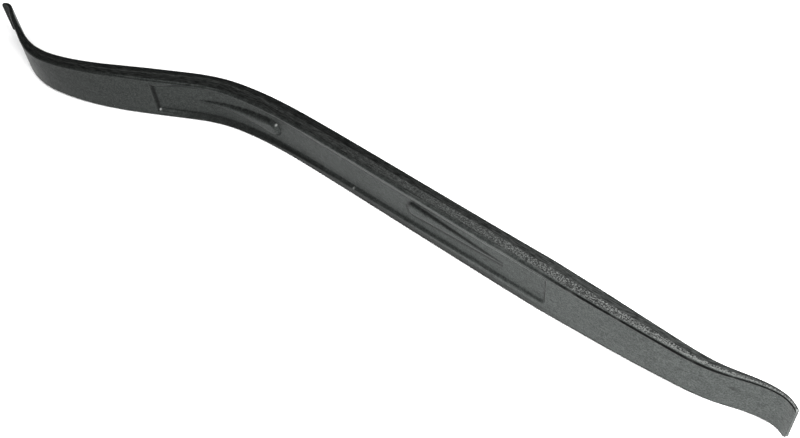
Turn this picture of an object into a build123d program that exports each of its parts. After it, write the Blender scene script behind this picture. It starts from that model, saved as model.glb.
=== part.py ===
"""Curved tyre lever, 16-inch class, one drop-forged steel bar.

Frame: millimetres, +Z up. The lever stands on its lower narrow edge.
+X runs along the lever from the hooked tip to the spoon tip, +Y goes from the
front wide face to the back wide face, Z is the width of the bar.
The origin is the middle of the footprint at the resting edge.

The bar is one forging, so it is one solid: an S-bent blade of thinning
section, trimmed flat along the parting line of the dies, with a sunk panel on
each wide face and two raised teardrop ribs in each panel.
"""

import os
from math import asin, atan2, cos, radians, sin, tan

from build123d import *

# ---------------------------------------------------------------- dimensions
LENGTH = 400.0  # hooked tip to spoon tip, straight across
WIDTH = 21.9  # over the trimmed edges in the grip
CORNER_R = 1.1  # rolled edge between a wide face and the draft
DRAFT = radians(7.0)  # die draft of the narrow edges
SHEAR = 0.01  # taken off the flat in the grip, to leave it truly plane
PANEL_DEPTH = 2.1  # sunk panel below the wide face
PANEL_FLANGE = 1.5  # wide face left above and below the panel
PANEL_SLOPE = 2.3  # width taken by the panel's sloping wall
PANEL_X = (110.0, 312.0)  # ends of the panel, from the hooked tip
PANEL_END = 1.4  # run of the panel's sloping end walls
PANEL_END_R = 1.6  # corner radius of the panel outline
RIB_HEIGHT = 2.0  # crest above the web
RIB_HALF = 4.3  # half width at the blunt end
RIB_STEPS = 5
RIB_A = (128.0, 170.0)  # point, blunt end
RIB_B = (292.0, 250.0)  # point, blunt end
OFF_X, OFF_Y = -LENGTH / 2 + 0.0262, 0.1268  # puts the origin mid footprint

# wide front face in plan: points of a smooth curve from tip to tip
FRONT = [
    (0.2, -1.15), (1.7, -0.14), (3.5, -0.05), (6, -1.17), (9, -3.17), (13, -5.37),
    (19, -8.32), (27, -12.1), (35, -15.7), (44, -18.44), (53, -19.3), (62, -18.48),
    (72, -16.6), (84, -13.32), (97, -8.76), (110, -3.56), (123, 1.87), (134, 6.15),
    (144, 8.81), (154, 10.08), (165, 10.62), (178, 10.45), (195, 9.44), (220, 7.5),
    (250, 5.01), (280, 2.55), (305, 0.67), (325, -0.48), (345, -1.32), (360, -1.67),
    (368, -1.61), (376, -0.69), (384, 1.24), (389, 2.18), (393, 2.35), (396.3, 1.7),
    (398.3, 0.65), (399.8, -0.5),
]

# blade thickness, against distance from the hooked tip along X
THICK = [
    (0, 1.4), (4, 1.65), (10, 2.15), (20, 2.65), (30, 3.5), (40, 4.7), (50, 5.75),
    (65, 6.45), (80, 7.1), (95, 7.85), (110, 8.4), (305, 8.4), (325, 7.95), (346, 6.6),
    (366, 5.1), (385, 2.8), (400, 1.3),
]

# full width over the narrow edges
BREADTH = [
    (0, 15.8), (15, 16.1), (35, 17.1), (60, 19.2), (85, 21.3), (100, 21.9),
    (305, 21.9), (325, 20.4), (346, 19.1), (366, 17.6), (385, 17.2), (400, 16.9),
]

# flat left by shearing off the flash, measured across the narrow edge
TRIM = [
    (0, 0.3), (60, 0.4), (100, 0.6), (150, 0.8), (180, 1.8), (200, 2.8), (240, 3.2),
    (305, 3.1), (333, 2.7), (352, 2.2), (369, 1.2), (385, 0.8), (400, 0.4),
]

# middle of that flat, as a share of the thickness from the front face
PARTING = [
    (0, 0.45), (65, 0.45), (113, 0.53), (134, 0.59), (155, 0.53), (180, 0.42),
    (200, 0.36), (240, 0.35), (275, 0.36), (305, 0.34), (333, 0.31), (352, 0.33),
    (372, 0.35), (388, 0.4), (400, 0.45),
]


# ---------------------------------------------------------------- geometry
def smooth(table, x):
    """Monotone cubic through a table of (x, value)."""
    if x <= table[0][0]:
        return table[0][1]
    if x >= table[-1][0]:
        return table[-1][1]
    d = [
        (table[i + 1][1] - table[i][1]) / (table[i + 1][0] - table[i][0])
        for i in range(len(table) - 1)
    ]
    m = [d[0]]
    for i in range(1, len(d)):
        if d[i - 1] * d[i] <= 0:
            m.append(0.0)
        else:
            m.append(2 * d[i - 1] * d[i] / (d[i - 1] + d[i]))
    m.append(d[-1])
    for i in range(len(d)):
        x0, y0 = table[i]
        x1, y1 = table[i + 1]
        if x <= x1:
            h = x1 - x0
            t = (x - x0) / h
            return (
                y0 * (1 + 2 * t) * (1 - t) ** 2
                + m[i] * h * t * (1 - t) ** 2
                + y1 * t * t * (3 - 2 * t)
                + m[i + 1] * h * t * t * (t - 1)
            )
    return table[-1][1]


def bend(table):
    """Second derivatives of the natural cubic spline through a table."""
    n = len(table)
    h = [table[i + 1][0] - table[i][0] for i in range(n - 1)]
    d = [(table[i + 1][1] - table[i][1]) / h[i] for i in range(n - 1)]
    c, g = [0.0] * n, [0.0] * n
    for i in range(1, n - 1):
        w = 2 * (h[i - 1] + h[i]) - h[i - 1] * c[i - 1]
        c[i] = h[i] / w
        g[i] = (6 * (d[i] - d[i - 1]) - h[i - 1] * g[i - 1]) / w
    m = [0.0] * n
    for i in range(n - 2, 0, -1):
        m[i] = g[i] - c[i] * m[i + 1]
    return m


BEND = bend(FRONT)


def front_at(x):
    """Front face Y and heading at distance x from the hooked tip."""
    i = 0
    while i < len(FRONT) - 2 and x > FRONT[i + 1][0]:
        i += 1
    (x0, y0), (x1, y1) = FRONT[i], FRONT[i + 1]
    h = x1 - x0
    a, b = (x1 - x) / h, (x - x0) / h
    y = a * y0 + b * y1 + ((a**3 - a) * BEND[i] + (b**3 - b) * BEND[i + 1]) * h * h / 6
    dy = (y1 - y0) / h + ((3 * b * b - 1) * BEND[i + 1] - (3 * a * a - 1) * BEND[i]) * h / 6
    return y, atan2(dy, 1.0)


def section_plane(x, back=False):
    """Plane across the bar: local x goes into the steel from one wide face."""
    y, a = front_at(x)
    n = (-sin(a), cos(a), 0)
    if not back:
        return Plane(origin=(x + OFF_X, y + OFF_Y, WIDTH / 2), x_dir=n, z_dir=(cos(a), sin(a), 0))
    t = smooth(THICK, x)
    return Plane(
        origin=(x + OFF_X + t * n[0], y + OFF_Y + t * n[1], WIDTH / 2),
        x_dir=(-n[0], -n[1], 0),
        z_dir=(-cos(a), -sin(a), 0),
    )


def outline(x):
    """Sizes of the forging section at x."""
    t = smooth(THICK, x)
    peak = smooth(BREADTH, x) / 2 + SHEAR
    land = smooth(TRIM, x) / 2
    part = t * smooth(PARTING, x)
    front = peak - (part - land) * tan(DRAFT)
    back = peak - (t - part - land) * tan(DRAFT)
    r = min(CORNER_R, 0.30 * t, 0.85 * (part - land), 0.85 * (t - part - land))
    return t, part - land, part + land, peak, front, back, r


def spread(marks):
    """Stations between marks of (x, count to the next mark)."""
    out = []
    for (a, n), (b, _) in zip(marks, marks[1:]):
        out += [a + (b - a) * i / n for i in range(n)]
    return out + [marks[-1][0]]


STATIONS = spread([
    (0.2, 4), (4.0, 3), (12.0, 3), (30.0, 5), (70.0, 6), (124.0, 7),
    (172.0, 8), (290.0, 9), (366.0, 4), (384.0, 6), (399.8, 0),
])
PANEL_STATIONS = spread([(PANEL_X[0] - 6, 6), (172.0, 8), (PANEL_X[1] + 6, 0)])


# ---------------------------------------------------------------- the forging

def panel_tool(back):
    """Solid that sinks one panel: sloping walls all round, softened corners."""
    with BuildPart() as tool:
        for x in PANEL_STATIONS:
            with BuildSketch(section_plane(x, back)):
                h = WIDTH / 2 - PANEL_FLANGE
                g = PANEL_SLOPE / PANEL_DEPTH
                with BuildLine():
                    Polyline((-1, h + g), (PANEL_DEPTH, h - PANEL_SLOPE), (PANEL_DEPTH, PANEL_SLOPE - h), (-1, -h - g), close=True)
                make_face()
        loft()
        for end, sign in ((PANEL_X[0], 1), (PANEL_X[1], -1)):
            frame = section_plane(end, back)
            along = Vector(frame.z_dir) * (-sign if back else sign)
            # the end wall runs inward PANEL_END while it goes down PANEL_DEPTH
            normal = along * PANEL_DEPTH - Vector(frame.x_dir) * PANEL_END
            split(bisect_by=Plane(origin=frame.origin, z_dir=normal), keep=Keep.TOP)
        corners = [
            e for e in tool.edges().filter_by(lambda e: PANEL_DEPTH < e.length < 2 * (PANEL_DEPTH + 1) + 2)
        ]
        fillet(corners, PANEL_END_R)
    return tool.part


sinkers = [panel_tool(back) for back in (False, True)]

with BuildPart() as forged_lever:
    for x in STATIONS:
        t, land_a, land_b, peak, front, back, r = outline(x)
        k = sin(radians(45))
        with BuildSketch(section_plane(x)):
            with BuildLine():
                # upper half: front face, rolled edge, draft, parting land, draft, rolled edge, back face
                Line((0, 0), (0, front - r))
                ThreePointArc((0, front - r), (r * (1 - k), front - r * (1 - k)), (r, front + r * tan(DRAFT)))
                Line((r, front + r * tan(DRAFT)), (land_a, peak))
                Line((land_a, peak), (land_b, peak))
                Line((land_b, peak), (t - r, back + r * tan(DRAFT)))
                ThreePointArc((t - r, back + r * tan(DRAFT)), (t - r * (1 - k), back - r * (1 - k)), (t, back - r))
                Line((t, back - r), (t, 0))
                mirror(about=Plane.XZ)
            make_face()
    loft()
    # the flash is sheared off flat, level with the two narrow edges of the grip
    split(bisect_by=Plane.XY, keep=Keep.TOP)
    split(bisect_by=Plane.XY.offset(WIDTH), keep=Keep.BOTTOM)
    # one sunk panel in each wide face
    for sinker in sinkers:
        add(sinker, mode=Mode.SUBTRACT)
    # two teardrop ribs stand in each panel, their blunt ends facing each other
    for is_back in (False, True):
        for tip, blunt in (RIB_A, RIB_B):
            for i in range(RIB_STEPS + 1):
                u = i / RIB_STEPS
                half = RIB_HALF * (0.07 + 0.93 * u)
                rise = RIB_HEIGHT * (0.10 + 0.90 * u**0.8)
                with BuildSketch(section_plane(tip + (blunt - tip) * u, is_back)):
                    with BuildLine():
                        ThreePointArc((PANEL_DEPTH, -half), (PANEL_DEPTH - rise, 0), (PANEL_DEPTH, half))
                        Polyline((PANEL_DEPTH, half), (PANEL_DEPTH + 0.3, half), (PANEL_DEPTH + 0.3, -half), (PANEL_DEPTH, -half))
                    make_face()
            loft()
            end = section_plane(blunt, is_back)
            with BuildSketch(end):
                with BuildLine():
                    c = RIB_HEIGHT / 2 + RIB_HALF**2 / (2 * RIB_HEIGHT)
                    m = asin(RIB_HALF / c) / 2
                    ThreePointArc(
                        (PANEL_DEPTH - RIB_HEIGHT, 0),
                        (PANEL_DEPTH - RIB_HEIGHT + c * (1 - cos(m)), c * sin(m)),
                        (PANEL_DEPTH, RIB_HALF),
                    )
                    Polyline((PANEL_DEPTH, RIB_HALF), (PANEL_DEPTH + 0.3, RIB_HALF), (PANEL_DEPTH + 0.3, 0), (PANEL_DEPTH - RIB_HEIGHT, 0))
                make_face()
            revolve(axis=Axis(end.origin, end.x_dir), revolution_arc=360)

print(forged_lever.part.volume, forged_lever.part.is_valid, len(forged_lever.part.solids()))

os.makedirs("parts", exist_ok=True)
forged_lever.part.label = "forged_lever"
export_step(forged_lever.part, "parts/forged_lever.step")
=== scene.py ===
import math

import bpy
import numpy as np
from mathutils import Matrix, Vector, noise


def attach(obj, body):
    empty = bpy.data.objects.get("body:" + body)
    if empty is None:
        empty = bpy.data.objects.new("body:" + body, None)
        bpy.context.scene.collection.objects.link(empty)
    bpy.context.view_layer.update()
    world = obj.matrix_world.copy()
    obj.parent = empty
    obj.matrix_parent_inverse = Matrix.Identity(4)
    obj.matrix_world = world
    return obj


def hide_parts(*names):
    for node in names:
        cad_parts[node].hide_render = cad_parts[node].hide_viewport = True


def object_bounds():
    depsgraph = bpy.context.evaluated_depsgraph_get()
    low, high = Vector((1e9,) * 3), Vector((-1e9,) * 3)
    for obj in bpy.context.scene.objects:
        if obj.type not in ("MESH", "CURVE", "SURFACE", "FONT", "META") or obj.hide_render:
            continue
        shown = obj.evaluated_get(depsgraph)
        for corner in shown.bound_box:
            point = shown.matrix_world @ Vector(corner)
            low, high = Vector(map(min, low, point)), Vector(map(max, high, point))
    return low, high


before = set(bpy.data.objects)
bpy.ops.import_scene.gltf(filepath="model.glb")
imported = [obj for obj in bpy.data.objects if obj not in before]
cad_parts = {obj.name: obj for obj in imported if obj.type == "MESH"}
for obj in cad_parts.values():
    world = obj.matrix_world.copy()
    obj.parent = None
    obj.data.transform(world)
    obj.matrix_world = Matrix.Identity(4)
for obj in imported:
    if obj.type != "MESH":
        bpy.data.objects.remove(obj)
CAD_BOX = [list(map(float, c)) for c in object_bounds()]
MM = 0.001

# ------------------------------------------------------------------ the forging's sizes, mm, as the frame has them
LENGTH, WIDTH, CORNER_R, DRAFT = 400.0, 21.9, 1.1, math.radians(7.0)
PANEL_DEPTH, PANEL_FLANGE, PANEL_SLOPE, PANEL_END = 2.1, 1.5, 2.3, 1.4
PANEL_X = (110.0, 312.0)
RIB_HEIGHT, RIB_HALF = 2.0, 4.3
RIB_A, RIB_B = (128.0, 170.0), (292.0, 250.0)
OFF_X, OFF_Y = -LENGTH / 2 + 0.0262, 0.1268
FRONT = [
    (0.2, -1.15), (1.7, -0.14), (3.5, -0.05), (6, -1.17), (9, -3.17), (13, -5.37),
    (19, -8.32), (27, -12.1), (35, -15.7), (44, -18.44), (53, -19.3), (62, -18.48),
    (72, -16.6), (84, -13.32), (97, -8.76), (110, -3.56), (123, 1.87), (134, 6.15),
    (144, 8.81), (154, 10.08), (165, 10.62), (178, 10.45), (195, 9.44), (220, 7.5),
    (250, 5.01), (280, 2.55), (305, 0.67), (325, -0.48), (345, -1.32), (360, -1.67),
    (368, -1.61), (376, -0.69), (384, 1.24), (389, 2.18), (393, 2.35), (396.3, 1.7),
    (398.3, 0.65), (399.8, -0.5),
]
THICK = [
    (0, 1.4), (4, 1.65), (10, 2.15), (20, 2.65), (30, 3.5), (40, 4.7), (50, 5.75),
    (65, 6.45), (80, 7.1), (95, 7.85), (110, 8.4), (305, 8.4), (325, 7.95), (346, 6.6),
    (366, 5.1), (385, 2.8), (400, 1.3),
]
BREADTH = [
    (0, 15.8), (15, 16.1), (35, 17.1), (60, 19.2), (85, 21.3), (100, 21.9),
    (305, 21.9), (325, 20.4), (346, 19.1), (366, 17.6), (385, 17.2), (400, 16.9),
]
TRIM = [
    (0, 0.3), (60, 0.4), (100, 0.6), (150, 0.8), (180, 1.8), (200, 2.8), (240, 3.2),
    (305, 3.1), (333, 2.7), (352, 2.2), (369, 1.2), (385, 0.8), (400, 0.4),
]
PARTING = [
    (0, 0.45), (65, 0.45), (113, 0.53), (134, 0.59), (155, 0.53), (180, 0.42),
    (200, 0.36), (240, 0.35), (275, 0.36), (305, 0.34), (333, 0.31), (352, 0.33),
    (372, 0.35), (388, 0.4), (400, 0.45),
]


def smooth(table, x):
    xs = np.array([a for a, _ in table], float)
    ys = np.array([b for _, b in table], float)
    h = np.diff(xs)
    d = np.diff(ys) / h
    m = np.zeros(len(xs))
    m[0], m[-1] = d[0], d[-1]
    for i in range(1, len(d)):
        m[i] = 0.0 if d[i - 1] * d[i] <= 0 else 2 * d[i - 1] * d[i] / (d[i - 1] + d[i])
    x = np.clip(x, xs[0], xs[-1])
    i = np.clip(np.searchsorted(xs, x, side="right") - 1, 0, len(h) - 1)
    t = (x - xs[i]) / h[i]
    return (
        ys[i] * (1 + 2 * t) * (1 - t) ** 2 + m[i] * h[i] * t * (1 - t) ** 2
        + ys[i + 1] * t * t * (3 - 2 * t) + m[i + 1] * h[i] * t * t * (t - 1)
    )


def front_curve(x):
    """Front face Y and heading: natural cubic spline through FRONT."""
    xs = np.array([a for a, _ in FRONT], float)
    ys = np.array([b for _, b in FRONT], float)
    n = len(xs)
    h = np.diff(xs)
    d = np.diff(ys) / h
    A = np.eye(n)
    r = np.zeros(n)
    for i in range(1, n - 1):
        A[i, i - 1], A[i, i], A[i, i + 1] = h[i - 1], 2 * (h[i - 1] + h[i]), h[i]
        r[i] = 6 * (d[i] - d[i - 1])
    m = np.linalg.solve(A, r)
    i = np.clip(np.searchsorted(xs, x, side="right") - 1, 0, n - 2)
    a, b = (xs[i + 1] - x) / h[i], (x - xs[i]) / h[i]
    y = a * ys[i] + b * ys[i + 1] + ((a**3 - a) * m[i] + (b**3 - b) * m[i + 1]) * h[i] ** 2 / 6
    dy = (ys[i + 1] - ys[i]) / h[i] + ((3 * b * b - 1) * m[i + 1] - (3 * a * a - 1) * m[i]) * h[i] / 6
    return y, np.arctan2(dy, 1.0)


def smin(a, b, k):
    h = np.maximum(k - np.abs(a - b), 0.0) / k
    return np.minimum(a, b) - h * h * k / 4


def smax(a, b, k):
    return -smin(-a, -b, k)


# ------------------------------------------------------------------ stations along the bar
fine = np.linspace(0.2, 399.8, 200001)
fy, fa = front_curve(fine)
run = np.concatenate([[0], np.cumsum(np.hypot(np.diff(fine), np.diff(fy)))])
TOTAL = run[-1]


def s_of(x):
    return np.interp(x, fine, run)


step = 0.45
marks = []
pos = 0.0
dense = [s_of(v) for v in (PANEL_X[0], PANEL_X[1], RIB_A[1] + RIB_HALF, RIB_B[1] - RIB_HALF, RIB_A[0], RIB_B[0])]
while pos < TOTAL:
    marks.append(pos)
    near = min(abs(pos - c) for c in dense)
    k = 0.45 if near < 3.0 else 1.0
    if pos < 8 or pos > TOTAL - 8:
        k = 0.6
    pos += step * k
marks.append(TOTAL)
S = np.array(marks)
END_R = 0.22
ends = END_R * (1 - np.cos(np.linspace(0, math.pi / 2, 6)))
S = S[(S > END_R + 0.1) & (S < TOTAL - END_R - 0.1)]
S = np.concatenate([ends, S, TOTAL - ends[::-1]])
X = np.interp(S, run, fine)
Y, ANG = front_curve(X)
NS = len(S)

T = smooth(THICK, X)
HALF = smooth(BREADTH, X) / 2
LAND = smooth(TRIM, X) / 2
PART = T * smooth(PARTING, X)
PEAK = np.minimum(HALF, WIDTH / 2)
FR = PEAK - (PART - LAND) * math.tan(DRAFT)
BK = PEAK - (T - PART - LAND) * math.tan(DRAFT)
R = np.minimum.reduce([np.full(NS, CORNER_R), 0.30 * T, 0.85 * (PART - LAND), 0.85 * (T - PART - LAND)])

# ------------------------------------------------------------------ section, sampled the same way at every station
q = 1
fz = np.concatenate([
    np.linspace(0, 0.60, 14 // q, endpoint=False),
    np.linspace(0.60, 0.93, 18 // q, endpoint=False),
    np.linspace(0.93, 1.0, 4 // q, endpoint=False),
])
arc = np.linspace(0, math.pi / 2, 8 // q + 1)[:-1]
ft = np.linspace(0, 1, 6 // q + 1)[:-1]
fl = np.linspace(0, 1, 12 // q + 1)[:-1]
fb = np.linspace(0, 1, 8 // q + 1)[:-1]


def col(v):
    return np.asarray(v)[:, None]


t7 = math.tan(DRAFT)
parts_n, parts_z, kind = [], [], []


def seg(n, z, label):
    parts_n.append(np.broadcast_to(n, (NS, n.shape[1] if n.ndim > 1 else z.shape[1])).copy())
    parts_z.append(np.broadcast_to(z, parts_n[-1].shape).copy())
    kind.extend([label] * parts_n[-1].shape[1])


zf = col(FR - R) * fz[None, :]
seg(np.zeros((NS, len(fz))), zf, "front")
# rolled front edge
cx, cz = col(R), col(FR - R)
seg(cx * (1 - np.cos(arc))[None, :], cz + (col(R) + col(R) * t7 * (np.sin(arc) ** 2)[None, :]) * np.sin(arc)[None, :], "roll_f")
# front draft
a0, z0, a1, z1 = col(R), col(FR) + col(R) * t7, col(PART - LAND), col(PEAK)
seg(a0 + (a1 - a0) * ft[None, :], z0 + (z1 - z0) * ft[None, :], "draft_f")
# trimmed land
seg(col(PART - LAND) + col(2 * LAND) * fl[None, :], col(PEAK) + 0 * fl[None, :], "land")
# back draft
b0, w0, b1, w1 = col(PART + LAND), col(PEAK), col(T - R), col(BK) + col(R) * t7
seg(b0 + (b1 - b0) * fb[None, :], w0 + (w1 - w0) * fb[None, :], "draft_b")
# rolled back edge, from the draft down to the back face
arc2 = np.linspace(math.pi / 2, 0, 8 // q + 1)[:-1]
seg(col(T) - cx * (1 - np.cos(arc2))[None, :], col(BK - R) + (col(R) + col(R) * t7 * (np.sin(arc2) ** 2)[None, :]) * np.sin(arc2)[None, :], "roll_b")
# back face, top down to the middle
seg(col(T) + 0 * fz[None, :], col(BK - R) * fz[::-1][None, :], "back")
N_UP = np.concatenate(parts_n, 1)
Z_UP = np.concatenate(parts_z, 1)
# the back column must start at the rolled edge's foot
nb = len(fz)
Z_UP[:, -nb:] = col(BK - R) * np.concatenate([[1.0], fz[1:][::-1]])[None, :]
# close the middle of the back face, then mirror for the lower half
N_UP = np.concatenate([N_UP, col(T)], 1)
Z_UP = np.concatenate([Z_UP, np.zeros((NS, 1))], 1)
kind.append("back")
N_LO = N_UP[:, 1:-1][:, ::-1]
Z_LO = -Z_UP[:, 1:-1][:, ::-1]
N = np.concatenate([N_UP, N_LO], 1)
Z = np.concatenate([Z_UP, Z_LO], 1)
kind = np.array(kind + kind[1:-1][::-1])
NC = N.shape[1]

is_front, is_back = kind == "front", kind == "back"
is_land = kind == "land"
SS = np.repeat(col(S), NC, 1)


# ------------------------------------------------------------------ sunk panel and ribs as one height field per face
def smoothstep(a, b, x):
    u = np.clip((x - a) / (b - a), 0, 1)
    return u * u * (3 - 2 * u)


def panel(s, z):
    """Depth of the panel, and how far down its wall a point is (0 rim, 1 foot)."""
    s0, s1 = s_of(PANEL_X[0]), s_of(PANEL_X[1])
    # the flange widens and the floor rises a little toward each end
    k, e = smoothstep(18.0, 2.0, s - s0), smoothstep(75.0, 6.0, s1 - s)
    mid = smoothstep(s_of(150.0), s_of(215.0), s)
    low = (z < 0) * mid
    h = WIDTH / 2 - PANEL_FLANGE - 2.0 * k - 0.9 * e - 0.8 * (z > 0) * mid * (1 - e) - low * (2.0 + 1.1 * smoothstep(115.0, 25.0, s1 - s))
    a = (h - np.abs(z)) / (PANEL_SLOPE - 1.1 * k - 1.3 * e - 1.0 * low * (1 - e))
    b = np.minimum((s - s0 - 1.0) / (PANEL_END * 0.75), (s1 - s) / (PANEL_END * 0.6))
    # rounded corners in plan
    raw = smin(a, b, 0.35 + 0.9 * e)
    m = smin(smax(raw, 0.0, 0.26), 1.0, 0.28)
    return (PANEL_DEPTH - 0.8 * k - 0.80 * mid - 0.45 * e) * np.clip(m, 0, 1), raw


def rib(s, z, tip, blunt, high=1.0, crown=2.8, wide=1.0, middle=0.0):
    st, sb = s_of(tip), s_of(blunt)
    sign = 1 if sb > st else -1
    u = (s - st) * sign / abs(sb - st)
    uc = np.clip(u, 0, 1)
    w = RIB_HALF * wide * (0.05 + 0.95 * uc)
    z = z - middle
    c = RIB_HEIGHT * high * (0.08 + 0.92 * uc**0.8)
    over = np.maximum(u - 1, 0) * abs(sb - st)
    rho = np.sqrt(z * z + over * over) / w
    before = np.maximum(-u, 0) * abs(sb - st)
    # flat-crowned dome with steep flanks
    raw = c * (1 - rho**crown) - before * 0.6
    return np.maximum(smax(raw, -0.0, 0.22), 0), raw, np.where(u > -0.02, (rho - 1) * w, 9.0)


p_depth, p_raw = panel(SS, Z)
r_a, raw_a, off_a = rib(SS, Z, RIB_A[0] + 2.5, RIB_A[1], 1.12)
r_b, raw_b, off_b = rib(SS, Z, *RIB_B, 0.60, 5.0, 0.76, 2.1)
inside = np.clip(p_depth / 1.25, 0, 1)
D = np.maximum(p_depth - smax(r_a, r_b, 0.05) * inside, 0)
N[:, is_front] += D[:, is_front]
N[:, is_back] -= D[:, is_back]
on_face = (is_front | is_back)[None, :]
# painted shade: dark lines at the foot of the panel wall, along the rib feet and at the panel's left end
foot = np.exp(-(((p_raw - 0.98) / 0.16) ** 2))
rib_foot = np.maximum(np.exp(-(((raw_a + 0.05) / 0.17) ** 2)), 0.9 * np.exp(-(((off_b - np.where(Z < 2.1, 1.0, 0.0)) / 0.60) ** 2))) * (p_raw > 0.9)
# painted highlight: light lines on the panel rims and across the upper flange
rim = np.exp(-(((p_raw + 0.05) / 0.14) ** 2))
end_line = np.exp(-(((SS - s_of(PANEL_X[0]) - 1.9) / 0.75) ** 2)) * smoothstep(8.3, 7.2, np.abs(Z))
crevice_shade = np.where(on_face, np.maximum(np.maximum(0.5 * foot, rib_foot), end_line), 0)
crest_highlight = smoothstep(0.05, -0.25, p_raw) * (Z > 7.0) * smoothstep(125.0, 150.0, col(X)) * smoothstep(306.0, 296.0, col(X))
rim_highlight_mask = np.where(on_face, np.maximum(rim * np.where(Z < 0, 0.55, 1.0), 0.85 * crest_highlight), 0)

# ------------------------------------------------------------------ forging irregularity, always into the steel
def fbm(px, py, pz, octaves, gain=0.5, seed=0.0):
    out = np.zeros(px.shape)
    flat = out.ravel()
    fx, fyy, fzz = px.ravel(), py.ravel(), pz.ravel()
    for i in range(flat.size):
        v, amp, fr = 0.0, 1.0, 1.0
        for _ in range(octaves):
            v += amp * noise.noise(Vector((fx[i] * fr + seed, fyy[i] * fr, fzz[i] * fr)))
            amp *= gain
            fr *= 2.1
        flat[i] = v
    return out


side = np.where(N > col(T) / 2, 60.0, 0.0)
wave = fbm(SS * 0.05, Z * 0.07, side, 2, seed=3.1)
peel = fbm(SS * 0.42, Z * 0.42, side, 2, seed=11.7)
thin = np.clip(col(T) / 5.0, 0.25, 1.0)
leather = 0.016 + 0.022 * smoothstep(250.0, 330.0, col(X))
dent = (0.07 * (wave + 0.8) + leather * (peel + 0.8)) * thin
dent = np.maximum(dent, 0)
N[:, is_front] += dent[:, is_front]
N[:, is_back] -= dent[:, is_back]
# the sheared flat is torn and pitted, and its edges wander a little
cut = fbm(SS * 0.9, N * 1.1, np.sign(Z) * 9.0, 3, 0.6, seed=21.3)
tear = fbm(SS * 0.13, N * 0.9, np.sign(Z) * 5.0, 2, seed=31.9)
rough = np.clip(0.036 * (cut + 0.7) + 0.04 * (tear + 0.6), 0, 0.2) * np.clip(col(LAND) / 0.5, 0.15, 1.0)
Z[:, is_land] -= (np.sign(Z) * rough)[:, is_land]

# ------------------------------------------------------------------ rounded ends
def pull(d, r):
    return r - np.sqrt(np.maximum(r * r - np.clip(r - d, 0, r) ** 2, 0))


dist = np.minimum(S, TOTAL - S)
inset = pull(dist, END_R)
corner = np.where(S < TOTAL / 2, pull(dist, 0.9), pull(dist, 0.8))
mid = col(T) / 2
N = mid + (N - mid) * (1 - col(inset) / np.maximum(mid, 0.1) * 0.8)
low_corner = np.where(S < TOTAL / 2, pull(dist, 0.9), pull(dist, 1.8))
Z = Z * (1 - np.where(Z < 0, col(inset * 0.4 + low_corner), col(inset * 0.4 + corner)) / col(PEAK))

CA, SA = col(np.cos(ANG)), col(np.sin(ANG))
PX = (col(X) + OFF_X - N * SA) * MM
PY = (col(Y) + OFF_Y + N * CA) * MM
PZ = (WIDTH / 2 + Z) * MM
low, high = Vector(CAD_BOX[0]), Vector(CAD_BOX[1])
PX = np.clip(PX, low.x, high.x)
PY = np.clip(PY, low.y, high.y)
PZ = np.clip(PZ, low.z, high.z)

verts = np.stack([PX, PY, PZ], -1).reshape(-1, 3)
i = np.arange(NS - 1)[:, None]
j = np.arange(NC)[None, :]
j2 = (j + 1) % NC
quads = np.stack([i * NC + j, (i + 1) * NC + j, (i + 1) * NC + j2, i * NC + j2], -1).reshape(-1, 4)
faces = [tuple(f) for f in quads.tolist()]
faces.append(tuple(range(NC)))
faces.append(tuple(reversed(range((NS - 1) * NC, NS * NC))))

mesh = bpy.data.meshes.new("forged_lever_skin")
mesh.from_pydata(verts.tolist(), [], faces)
mesh.update()
import bmesh
bm = bmesh.new()
bm.from_mesh(mesh)
bmesh.ops.triangulate(bm, faces=[f for f in bm.faces if len(f.verts) > 4])
bmesh.ops.recalc_face_normals(bm, faces=bm.faces)
bm.to_mesh(mesh)
bm.free()
mesh.polygons.foreach_set("use_smooth", [True] * len(mesh.polygons))

# where each finish sits, kept on the points
def attribute(name, values):
    layer = mesh.attributes.new(name, "FLOAT", "POINT")
    layer.data.foreach_set("value", np.clip(values, 0, 1).astype(np.float32).ravel())


land_mask = np.zeros((NS, NC))
land_mask[:, is_land] = 1.0
roll_mask = np.isin(kind, ["roll_f", "roll_b"])[None, :] * np.ones((NS, 1))
# painted shade line on the rolled front edge toward the spoon end
undercut_shade_mask = (kind == "roll_f")[None, :] * (N < 0.6 * col(R)) * smoothstep(300.0, 325.0, col(X))
land_mask += (kind == "draft_f")[None, :] * smoothstep(285.0, 325.0, col(X))
# lengthwise drawn texture on the narrow side; the lower edge is smoother and carries painted shade
band = np.isin(kind, ["draft_f", "draft_b", "land", "roll_b"])[None, :] * np.ones((NS, 1))
lower_edge_shade = np.where(kind[None, :] == "front", smoothstep(6.7, 7.9, -Z) * (0.25 + 0.63 * smoothstep(140.0, 200.0, col(X)) - 0.14 * smoothstep(220.0, 290.0, col(X))), np.isin(kind, ["roll_f", "draft_f"])[None, :] * (Z < 0)) * smoothstep(90.0, 130.0, col(X)) * smoothstep(330.0, 300.0, col(X))
attribute("band", band)
attribute("lower_edge_shade", lower_edge_shade)
attribute("land", land_mask)
attribute("roll", roll_mask)
# painted glints: small bright spots on corners (x mm, z mm, radius mm)
glint_spots = [(112.3, -6.9, 0.34), (172.7, 2.7, 0.38), (217.0, -6.9, 0.30)]
painted_glint = sum(np.exp(-(((col(X) - cx_) ** 2 + (Z - cz_) ** 2) / r_**2)) for cx_, cz_, r_ in glint_spots) * is_front[None, :]
attribute("painted_glint", painted_glint)
attribute("arc", SS / TOTAL)
attribute("deep", (N + np.sign(Z) * 4.0) / 20.0 + 0.3)
attribute("crevice_shade", crevice_shade)
attribute("rim", rim_highlight_mask)
attribute("undercut_shade", undercut_shade_mask)
attribute("along", np.repeat(col(X) / LENGTH, NC, 1))
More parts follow.
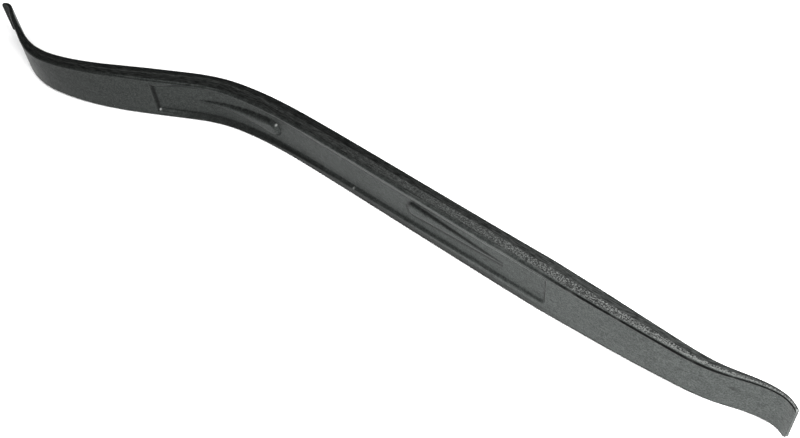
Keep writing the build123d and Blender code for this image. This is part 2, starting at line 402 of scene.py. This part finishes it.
# front of the flat near the spoon end: rubbed bright, partly a painted highlight
fore = (N < col(PART) - 0.2 * col(LAND)) * np.isin(kind, ["land", "draft_f"])[None, :]
attribute("rub_and_highlight", fore * smoothstep(330.0, 372.0, col(X)))

lever = bpy.data.objects.new("forged_lever_skin", mesh)
bpy.context.scene.collection.objects.link(lever)
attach(lever, "root")
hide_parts("forged_lever")


# ------------------------------------------------------------------ material
def make_steel(name):
    mat = bpy.data.materials.new(name)
    mat.use_nodes = True
    nt = mat.node_tree
    nt.nodes.clear()
    L = nt.links
    out = nt.nodes.new("ShaderNodeOutputMaterial")
    bsdf = nt.nodes.new("ShaderNodeBsdfPrincipled")
    L.new(bsdf.outputs[0], out.inputs[0])
    geo = nt.nodes.new("ShaderNodeTexCoord")
    P = geo.outputs["Object"]

    def attr(n):
        a = nt.nodes.new("ShaderNodeAttribute")
        a.attribute_name = n
        return a.outputs["Fac"]

    def tex(scale, detail=3.0, rough=0.55, stretch=None, src=None):
        src = src or P
        if stretch:
            mp = nt.nodes.new("ShaderNodeMapping")
            mp.inputs["Scale"].default_value = stretch
            L.new(src, mp.inputs["Vector"])
            src = mp.outputs[0]
        t = nt.nodes.new("ShaderNodeTexNoise")
        t.inputs["Scale"].default_value = scale
        t.inputs["Detail"].default_value = detail
        t.inputs["Roughness"].default_value = rough
        L.new(src, t.inputs["Vector"])
        return t.outputs["Fac"]

    def maths(op, a, b, clamp=False):
        m = nt.nodes.new("ShaderNodeMath")
        m.operation = op
        m.use_clamp = clamp
        for k, v in enumerate((a, b)):
            if isinstance(v, (int, float)):
                m.inputs[k].default_value = v
            else:
                L.new(v, m.inputs[k])
        return m.outputs[0]

    def ramp(fac, stops):
        r = nt.nodes.new("ShaderNodeValToRGB")
        els = r.color_ramp.elements
        while len(els) < len(stops):
            els.new(0.5)
        for e, (p, c) in zip(els, stops):
            e.position = p
            e.color = (*c, 1) if isinstance(c, tuple) else (c, c, c, 1)
        L.new(fac, r.inputs[0])
        return r.outputs[0]

    def mix(fac, a, b):
        m = nt.nodes.new("ShaderNodeMix")
        m.data_type = "RGBA"
        if isinstance(fac, (int, float)):
            m.inputs[0].default_value = fac
        else:
            L.new(fac, m.inputs[0])
        for k, v in ((6, a), (7, b)):
            if isinstance(v, tuple):
                m.inputs[k].default_value = (*v, 1)
            else:
                L.new(v, m.inputs[k])
        return m.outputs[2]

    land, roll, rub_and_highlight = attr("land"), attr("roll"), attr("rub_and_highlight")
    crevice_shade, rim, under, along, painted_glint = attr("crevice_shade"), attr("rim"), attr("undercut_shade"), attr("along"), attr("painted_glint")
    band, lower_edge_shade = attr("band"), attr("lower_edge_shade")
    # object coordinates are metres, so a scale of 1000 is one cell a millimetre
    broad = tex(26, 3)
    mottle = tex(420, 4, 0.6)
    grain = tex(1500, 3, 0.6)
    speck = tex(2300, 2, 0.5)
    marks = tex(260, 5, 0.65, (0.55, 1.0, 1.0))

    # black oxide under thin lacquer: slightly green-grey black, uneven
    base = mix(ramp(broad, [(0.35, 0.0), (0.65, 1.0)]), (0.038, 0.0418, 0.0402), (0.047, 0.0518, 0.0497))
    base = mix(ramp(mottle, [(0.42, 0.0), (0.62, 0.7)]), base, (0.059, 0.0645, 0.0617))
    fleck = tex(1900, 2, 0.5)
    base = mix(ramp(fleck, [(0.40, 0.55), (0.60, 0.0)]), base, (0.010, 0.011, 0.0105))
    # painted shade: the base is a little darker toward the hooked end
    base = mix(ramp(along, [(0.10, 0.68), (0.26, 0.47), (0.50, 0.22), (0.80, 0.0)]), base, (0.008, 0.009, 0.0085))
    base = mix(maths("MULTIPLY", ramp(fleck, [(0.48, 0.0), (0.62, 1.0)]), ramp(along, [(0.1, 0.36), (0.6, 0.10)])), base, (0.060, 0.065, 0.062))
    # lengthwise streaks along the narrow side
    flow = nt.nodes.new("ShaderNodeCombineXYZ")
    L.new(maths("MULTIPLY", attr("arc"), 0.045), flow.inputs[0])
    L.new(maths("MULTIPLY", attr("deep"), 0.020), flow.inputs[1])
    streak = tex(2300, 3, 0.65, None, flow.outputs[0])
    lines = mix(ramp(streak, [(0.38, 0.0), (0.62, 1.0)]), (0.020, 0.022, 0.021), (0.115, 0.120, 0.117))
    faint = mix(ramp(streak, [(0.42, 0.0), (0.59, 1.0)]), (0.010, 0.011, 0.0105), (0.058, 0.061, 0.059))
    lines = mix(ramp(along, [(0.55, 0.0), (0.80, 1.0)]), faint, lines)
    base = mix(maths("MULTIPLY", band, 0.80), base, lines)
    # painted shade on the lower flange and rolled lower edge
    base = mix(maths("MULTIPLY", lower_edge_shade, 0.85), base, (0.006, 0.0065, 0.006))
    # painted highlight on the panel rims and across the upper flange
    base = mix(maths("MULTIPLY", rim, 0.45), base, (0.085, 0.089, 0.086))
    # painted shade in the feet of the panel wall and ribs and at the panel's left end
    base = mix(maths("MULTIPLY", crevice_shade, 0.84), base, (0.004, 0.004, 0.004))
    # painted shade line along the rolled front edge toward the spoon end
    base = mix(maths("MULTIPLY", under, 0.95), base, (0.004, 0.004, 0.004))
    # pinholes and scale marks
    base = mix(ramp(marks, [(0.30, 0.7), (0.40, 0.0)]), base, (0.010, 0.011, 0.0105))
    # sheared flat: the coating is broken and grey steel grains show through
    torn = mix(ramp(tex(2000, 3, 0.65), [(0.46, 0.0), (0.60, 1.0)]), (0.008, 0.009, 0.0085), (0.125, 0.130, 0.126))
    bare = maths("MULTIPLY", land, ramp(along, [(0.45, 0.08), (0.66, 0.42), (0.80, 1.0)]))
    base = mix(bare, base, torn)
    # the thin spoon's edge is rubbed bright, and the lightening also paints the highlight along that edge
    base = mix(maths("MULTIPLY", rub_and_highlight, ramp(grain, [(0.40, 0.05), (0.60, 0.65)])), base, (0.17, 0.176, 0.17))
    # handled edges are rubbed a little brighter
    worn = maths("MULTIPLY", roll, ramp(tex(90, 4, 0.6), [(0.52, 0.0), (0.70, 1.0)]))
    base = mix(maths("MULTIPLY", worn, 0.35), base, (0.12, 0.124, 0.12))
    # painted glints on the panel corner, rib A's blunt end and the lower rim
    base = mix(painted_glint, base, (0.36, 0.37, 0.36))
    # rare bright nicks
    nick = ramp(speck, [(0.75, 0.0), (0.79, 1.0)])
    base = mix(maths("MULTIPLY", nick, 0.6), base, (0.35, 0.355, 0.35))
    L.new(base, bsdf.inputs["Base Color"])

    rgh = maths("ADD", 0.33, maths("MULTIPLY", mottle, 0.16))
    rgh = maths("ADD", rgh, maths("MULTIPLY", land, 0.14))
    rgh = maths("ADD", rgh, maths("MULTIPLY", marks, 0.06), True)
    L.new(rgh, bsdf.inputs["Roughness"])
    plain = maths("MULTIPLY", land, ramp(along, [(0.50, 0.02), (0.80, 0.43)]))
    L.new(maths("SUBTRACT", 0.94, plain), bsdf.inputs["Metallic"])
    bsdf.inputs["Specular Tint"].default_value = (0.75, 0.75, 0.75, 1)

    bump = nt.nodes.new("ShaderNodeBump")
    bump.inputs["Strength"].default_value = 0.6
    bump.inputs["Distance"].default_value = 0.0004
    h = maths("ADD", maths("MULTIPLY", mottle, 0.55), maths("MULTIPLY", marks, 0.50))
    h = maths("ADD", h, maths("MULTIPLY", maths("MULTIPLY", grain, land), 0.8))
    h = maths("ADD", h, maths("MULTIPLY", grain, 0.36))
    L.new(h, bump.inputs["Height"])
    L.new(bump.outputs[0], bsdf.inputs["Normal"])
    return mat


steel = make_steel("black_forged_steel")
mesh.materials.append(steel)

# ------------------------------------------------------------------ floor, light, camera
bpy.ops.mesh.primitive_plane_add(size=8.0, location=(0, 0, -0.0002))
floor = bpy.context.object
floor.name = "floor"
fm = bpy.data.materials.new("pale_floor")
fm.use_nodes = True
fb_ = fm.node_tree.nodes["Principled BSDF"]
fb_.inputs["Base Color"].default_value = (0.92, 0.92, 0.92, 1)
fb_.inputs["Roughness"].default_value = 0.9
fb_.inputs["Specular IOR Level"].default_value = 0.1
floor.data.materials.append(fm)

world = bpy.data.worlds.new("studio")
bpy.context.scene.world = world
world.use_nodes = True
world.node_tree.nodes["Background"].inputs[0].default_value = (1, 1, 1, 1)
world.node_tree.nodes["Background"].inputs[1].default_value = 0.06


def area(name, loc, target, size, power, size_y=None):
    d = bpy.data.lights.new(name, "AREA")
    d.energy = power
    d.shape = "RECTANGLE"
    d.size = size
    d.size_y = size_y or size
    o = bpy.data.objects.new(name, d)
    bpy.context.scene.collection.objects.link(o)
    o.location = loc
    o.rotation_euler = (Vector(target) - Vector(loc)).to_track_quat("-Z", "Y").to_euler()
    return o


area("key", (0.58, -0.15, 0.35), (0.14, 0, 0), 0.30, 14.0)
area("card", (0.15, 0.75, 1.0), (0.1, 0, 0), 0.8, 3.0)
area("fill", (0.05, -0.45, 1.35), (-0.15, 0, 0), 1.1, 19.5)
area("front_card", (-0.45, -0.80, 0.44), (0, 0, 0), 0.6, 0.45)
area("lens_side", (0.42, -0.62, 0.95), (0, 0, 0), 0.5, 1.2)

# camera
F_PX, PITCH, ROLL = 945.68, math.radians(47.5), math.radians(6.4935)
H = Vector((-0.675749, 0.737131, 0))
RT = Vector((0.737131, 0.675749, 0))
UP = Vector((0, 0, 1))
fwd = H * math.cos(PITCH) - UP * math.sin(PITCH)
down = -H * math.sin(PITCH) - UP * math.cos(PITCH)
xi = RT * math.cos(ROLL) + down * math.sin(ROLL)
yi = -RT * math.sin(ROLL) + down * math.cos(ROLL)
cam_data = bpy.data.cameras.new("camera")
cam_data.sensor_width = 36.0
cam_data.sensor_fit = "HORIZONTAL"
cam_data.lens = F_PX / 800 * 36.0
cam_data.clip_start = 0.01
cam = bpy.data.objects.new("camera", cam_data)
bpy.context.scene.collection.objects.link(cam)
m = Matrix.Identity(4)
for r in range(3):
    m[r][0], m[r][1], m[r][2] = xi[r], -yi[r], -fwd[r]
m[0][3], m[1][3], m[2][3] = 0.211876, -0.178693, 0.27663
cam.matrix_world = m
bpy.context.scene.camera = cam
bpy.context.scene.view_settings.view_transform = "Standard"
